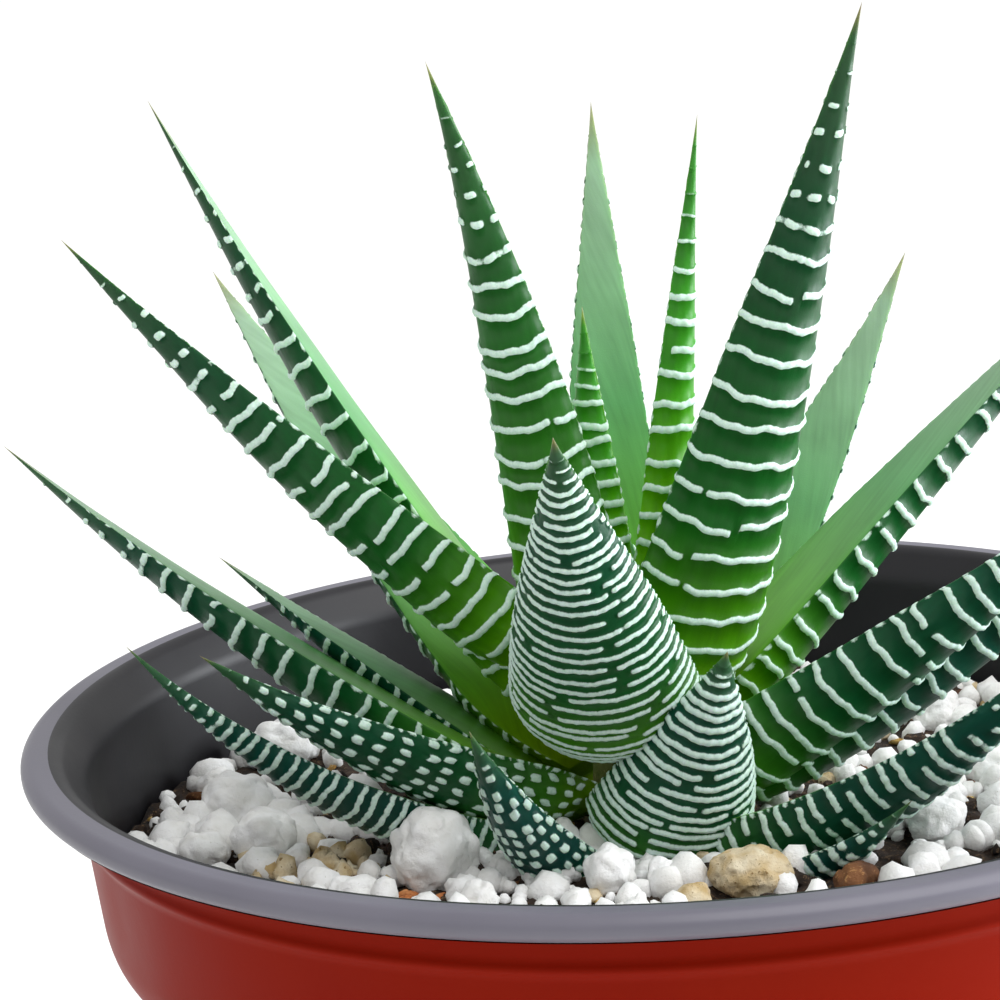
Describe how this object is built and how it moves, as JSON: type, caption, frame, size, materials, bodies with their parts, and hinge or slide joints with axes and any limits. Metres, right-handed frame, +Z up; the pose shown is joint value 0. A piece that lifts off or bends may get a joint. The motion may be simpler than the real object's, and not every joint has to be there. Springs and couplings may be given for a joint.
{
  "type": "potted haworthia",
  "caption": "Zebra haworthia, a rosette of pointed succulent leaves with raised white bands, in a thin round nursery pot of soil topped with perlite.",
  "frame": {"origin": "centre of the pot's foot, on the surface that the pot stands on", "axes": "+Z up along the pot's axis, +X to the right and +Y to the back as the plant is seen from its front"},
  "size_m": [0.1207, 0.12, 0.1677],
  "materials": {
    "pot_plastic": "satin",
    "leaf_skin": "satin, with raised white bands",
    "stem_bark": "matte",
    "potting_soil": "rough, crumbly",
    "perlite": "matte, pitted",
    "pumice": "matte, rough",
    "bark_chip": "matte, fibrous"
  },
  "bodies": {
    "root": {"pot": "pot_plastic", "soil": "potting_soil", "stem": "stem_bark", "leaf_01": "leaf_skin", "leaf_02": "leaf_skin", "leaf_03": "leaf_skin", "leaf_04": "leaf_skin", "leaf_05": "leaf_skin", "leaf_06": "leaf_skin", "leaf_07": "leaf_skin", "leaf_08": "leaf_skin", "leaf_09": "leaf_skin", "leaf_10": "leaf_skin", "leaf_11": "leaf_skin", "leaf_12": "leaf_skin", "leaf_13": "leaf_skin", "leaf_14": "leaf_skin", "leaf_15": "leaf_skin", "leaf_16": "leaf_skin", "leaf_17": "leaf_skin", "leaf_18": "leaf_skin", "leaf_19": "leaf_skin", "leaf_20": "leaf_skin", "leaf_21": "leaf_skin", "leaf_22": "leaf_skin", "leaf_23": "leaf_skin", "leaf_24": "leaf_skin", "leaf_25": "leaf_skin", "leaf_26": "leaf_skin", "perlite_01": "perlite", "perlite_02": "perlite", "perlite_03": "perlite", "perlite_04": "perlite", "perlite_05": "perlite", "perlite_06": "perlite", "perlite_07": "perlite", "perlite_08": "perlite", "perlite_09": "perlite", "perlite_10": "perlite", "perlite_11": "perlite", "perlite_12": "perlite", "perlite_13": "perlite", "perlite_14": "perlite", "perlite_15": "perlite", "perlite_16": "perlite", "perlite_17": "perlite", "perlite_18": "perlite", "perlite_19": "perlite", "perlite_20": "perlite", "perlite_21": "perlite", "perlite_22": "perlite", "pumice_01": "pumice", "pumice_02": "pumice", "pumice_03": "pumice", "bark_01": "bark_chip", "bark_02": "bark_chip"}
  },
  "joints": []
}
